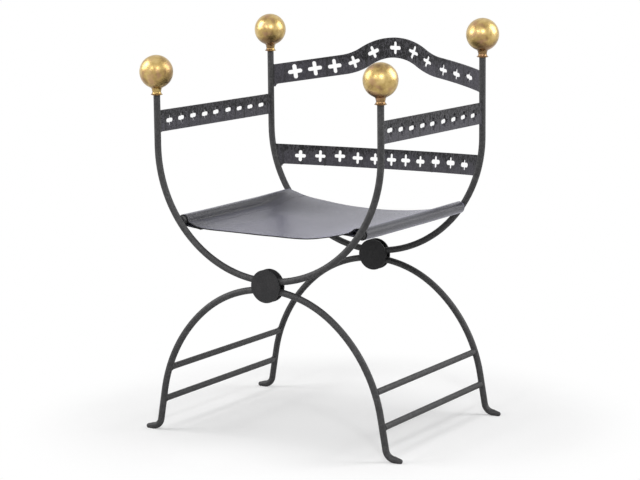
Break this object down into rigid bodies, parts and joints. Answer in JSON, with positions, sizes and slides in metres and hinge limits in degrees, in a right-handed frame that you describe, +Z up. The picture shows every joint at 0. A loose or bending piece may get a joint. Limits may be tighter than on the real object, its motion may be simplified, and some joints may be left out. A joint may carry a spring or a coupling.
{
  "type": "savonarola armchair",
  "caption": "Fixed iron armchair in savonarola form: bowed end frames meet at plated hubs, pierced strap arms and back rails, leather sling seat, brass ball finials.",
  "frame": {"origin": "on the floor, at the bottom centre of the chair's bounding box", "axes": "+X to the right as seen from the front, +Y to the rear, +Z up"},
  "size_m": [0.7078, 0.6602, 0.98],
  "materials": {
    "iron": "forged iron bar and strap, charcoal black, satin to matt, with a fine grainy skin",
    "brass": "spun and turned brass, aged to brown and polished by handling",
    "leather": "slate charcoal saddle leather with a soft blue-grey sheen",
    "steel": "plain steel stud, hidden inside the posts and balls"
  },
  "bodies": {
    "frame": {"front_upper_bow": "iron", "rear_upper_bow": "iron", "front_lower_arch": "iron", "rear_lower_arch": "iron", "front_hub_disc_outer": "iron", "front_hub_disc_inner": "iron", "rear_hub_disc_outer": "iron", "rear_hub_disc_inner": "iron", "left_lower_stretcher": "iron", "right_lower_stretcher": "iron", "left_upper_stretcher": "iron", "right_upper_stretcher": "iron", "left_seat_rail": "iron", "right_seat_rail": "iron", "left_arm_strap": "iron", "right_arm_strap": "iron", "lower_back_rail": "iron", "crest_rail": "iron", "front_left_finial_collar": "brass", "front_right_finial_collar": "brass", "rear_left_finial_collar": "brass", "rear_right_finial_collar": "brass", "finial_studs": "steel", "seat_sling": "leather"},
    "front_left_finial_ball": {"front_left_finial_ball": "brass"},
    "front_right_finial_ball": {"front_right_finial_ball": "brass"},
    "rear_left_finial_ball": {"rear_left_finial_ball": "brass"},
    "rear_right_finial_ball": {"rear_right_finial_ball": "brass"}
  },
  "joints": [
    {"name": "front_left_finial_turn", "type": "hinge", "parent": "frame", "child": "front_left_finial_ball", "pos_m": [-0.3025, -0.29024, 0.8678], "axis": [0, 0, 1], "continuous": true},
    {"name": "front_right_finial_turn", "type": "hinge", "parent": "frame", "child": "front_right_finial_ball", "pos_m": [0.3025, -0.29024, 0.8678], "axis": [0, 0, 1], "continuous": true},
    {"name": "rear_left_finial_turn", "type": "hinge", "parent": "frame", "child": "rear_left_finial_ball", "pos_m": [-0.3025, 0.21696, 0.9401], "axis": [0, 0, 1], "continuous": true},
    {"name": "rear_right_finial_turn", "type": "hinge", "parent": "frame", "child": "rear_right_finial_ball", "pos_m": [0.3025, 0.21696, 0.9401], "axis": [0, 0, 1], "continuous": true}
  ]
}
